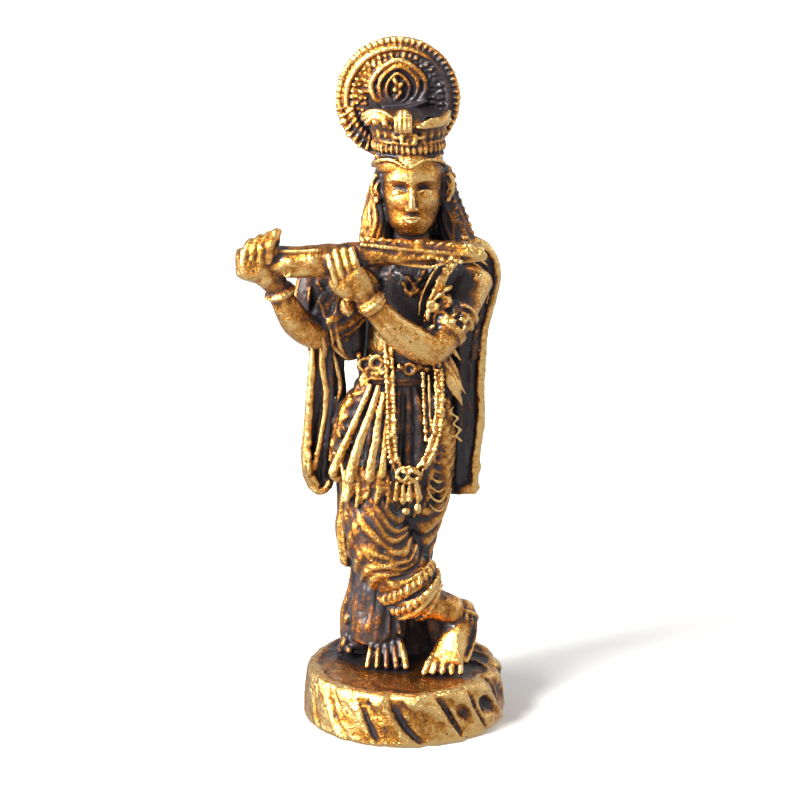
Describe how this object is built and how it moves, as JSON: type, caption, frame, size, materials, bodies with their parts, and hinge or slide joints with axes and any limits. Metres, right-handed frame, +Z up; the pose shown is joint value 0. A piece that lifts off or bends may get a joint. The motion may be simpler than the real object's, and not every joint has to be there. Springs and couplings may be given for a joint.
{
  "type": "krishna figure",
  "caption": "Small cast brass statuette of a crowned, standing flute player with crossed legs, draped shawl, long garland and a round fan behind the crown, on a round lotus plinth",
  "frame": {"origin": "centre of the plinth's round underside, on the surface that the figure stands on", "axes": "+Z up, the figure faces -Y, +X is to the right of a viewer in front of it"},
  "size_m": [0.0307, 0.0236, 0.0799],
  "materials": {
    "antiqued_brass": "sand cast brass, darkened in its hollows and rubbed bright on its high points"
  },
  "bodies": {
    "root": {"krishna_figure": "antiqued_brass"}
  },
  "joints": []
}
